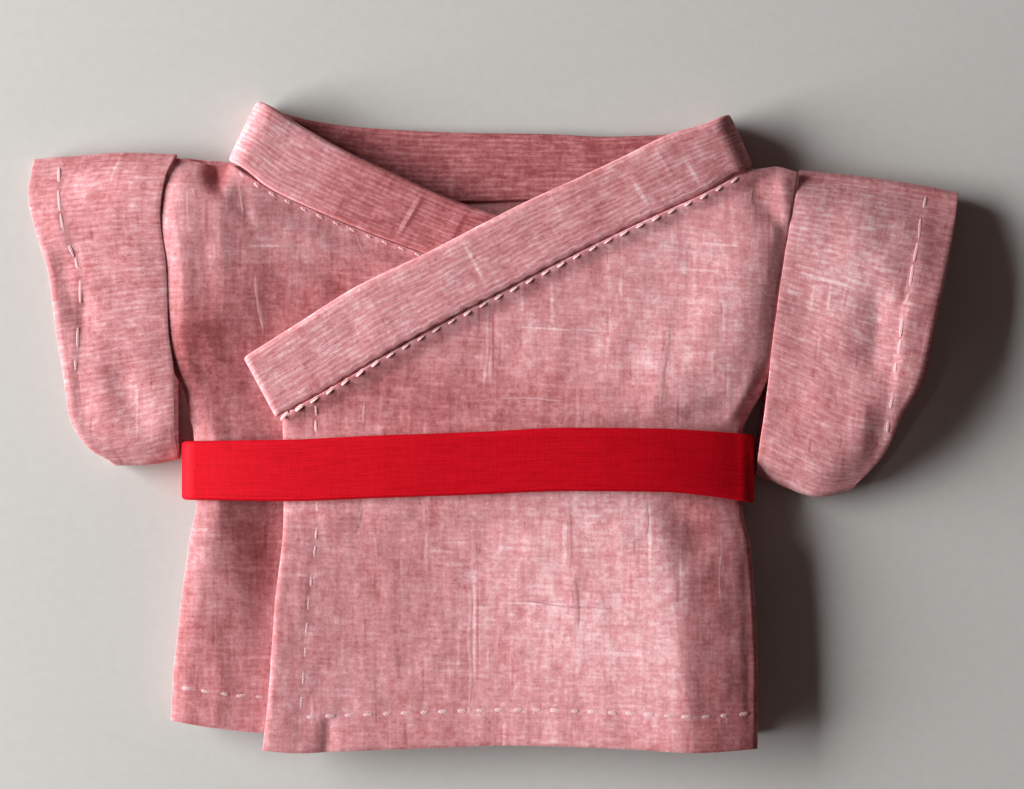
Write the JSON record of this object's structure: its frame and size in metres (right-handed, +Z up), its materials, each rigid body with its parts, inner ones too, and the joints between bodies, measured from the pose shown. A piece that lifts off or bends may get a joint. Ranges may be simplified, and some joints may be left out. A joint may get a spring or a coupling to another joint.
{
  "type": "doll's short yukata laid flat",
  "caption": "Miniature short yukata in slub cotton, laid flat face up, wrapped left over right, with wide short sleeves, a band collar and a flat belt.",
  "frame": {"origin": "centre of the garment's outline on the surface that it lies on", "axes": "+X towards the viewer's right, which is the wearer's left sleeve; +Y towards the neck; +Z up, out of the front"},
  "size_m": [0.1004, 0.0704, 0.0062],
  "materials": {
    "slub_cotton": "dusty pink slub cotton, finely ribbed, pale irregular threads",
    "belt_tape": "bright red ribbed tape with a soft sheen"
  },
  "bodies": {
    "root": {"back": "slub_cotton", "front_right": "slub_cotton", "front_left": "slub_cotton", "sleeve_right": "slub_cotton", "sleeve_left": "slub_cotton", "collar": "slub_cotton", "belt": "belt_tape"}
  },
  "joints": []
}
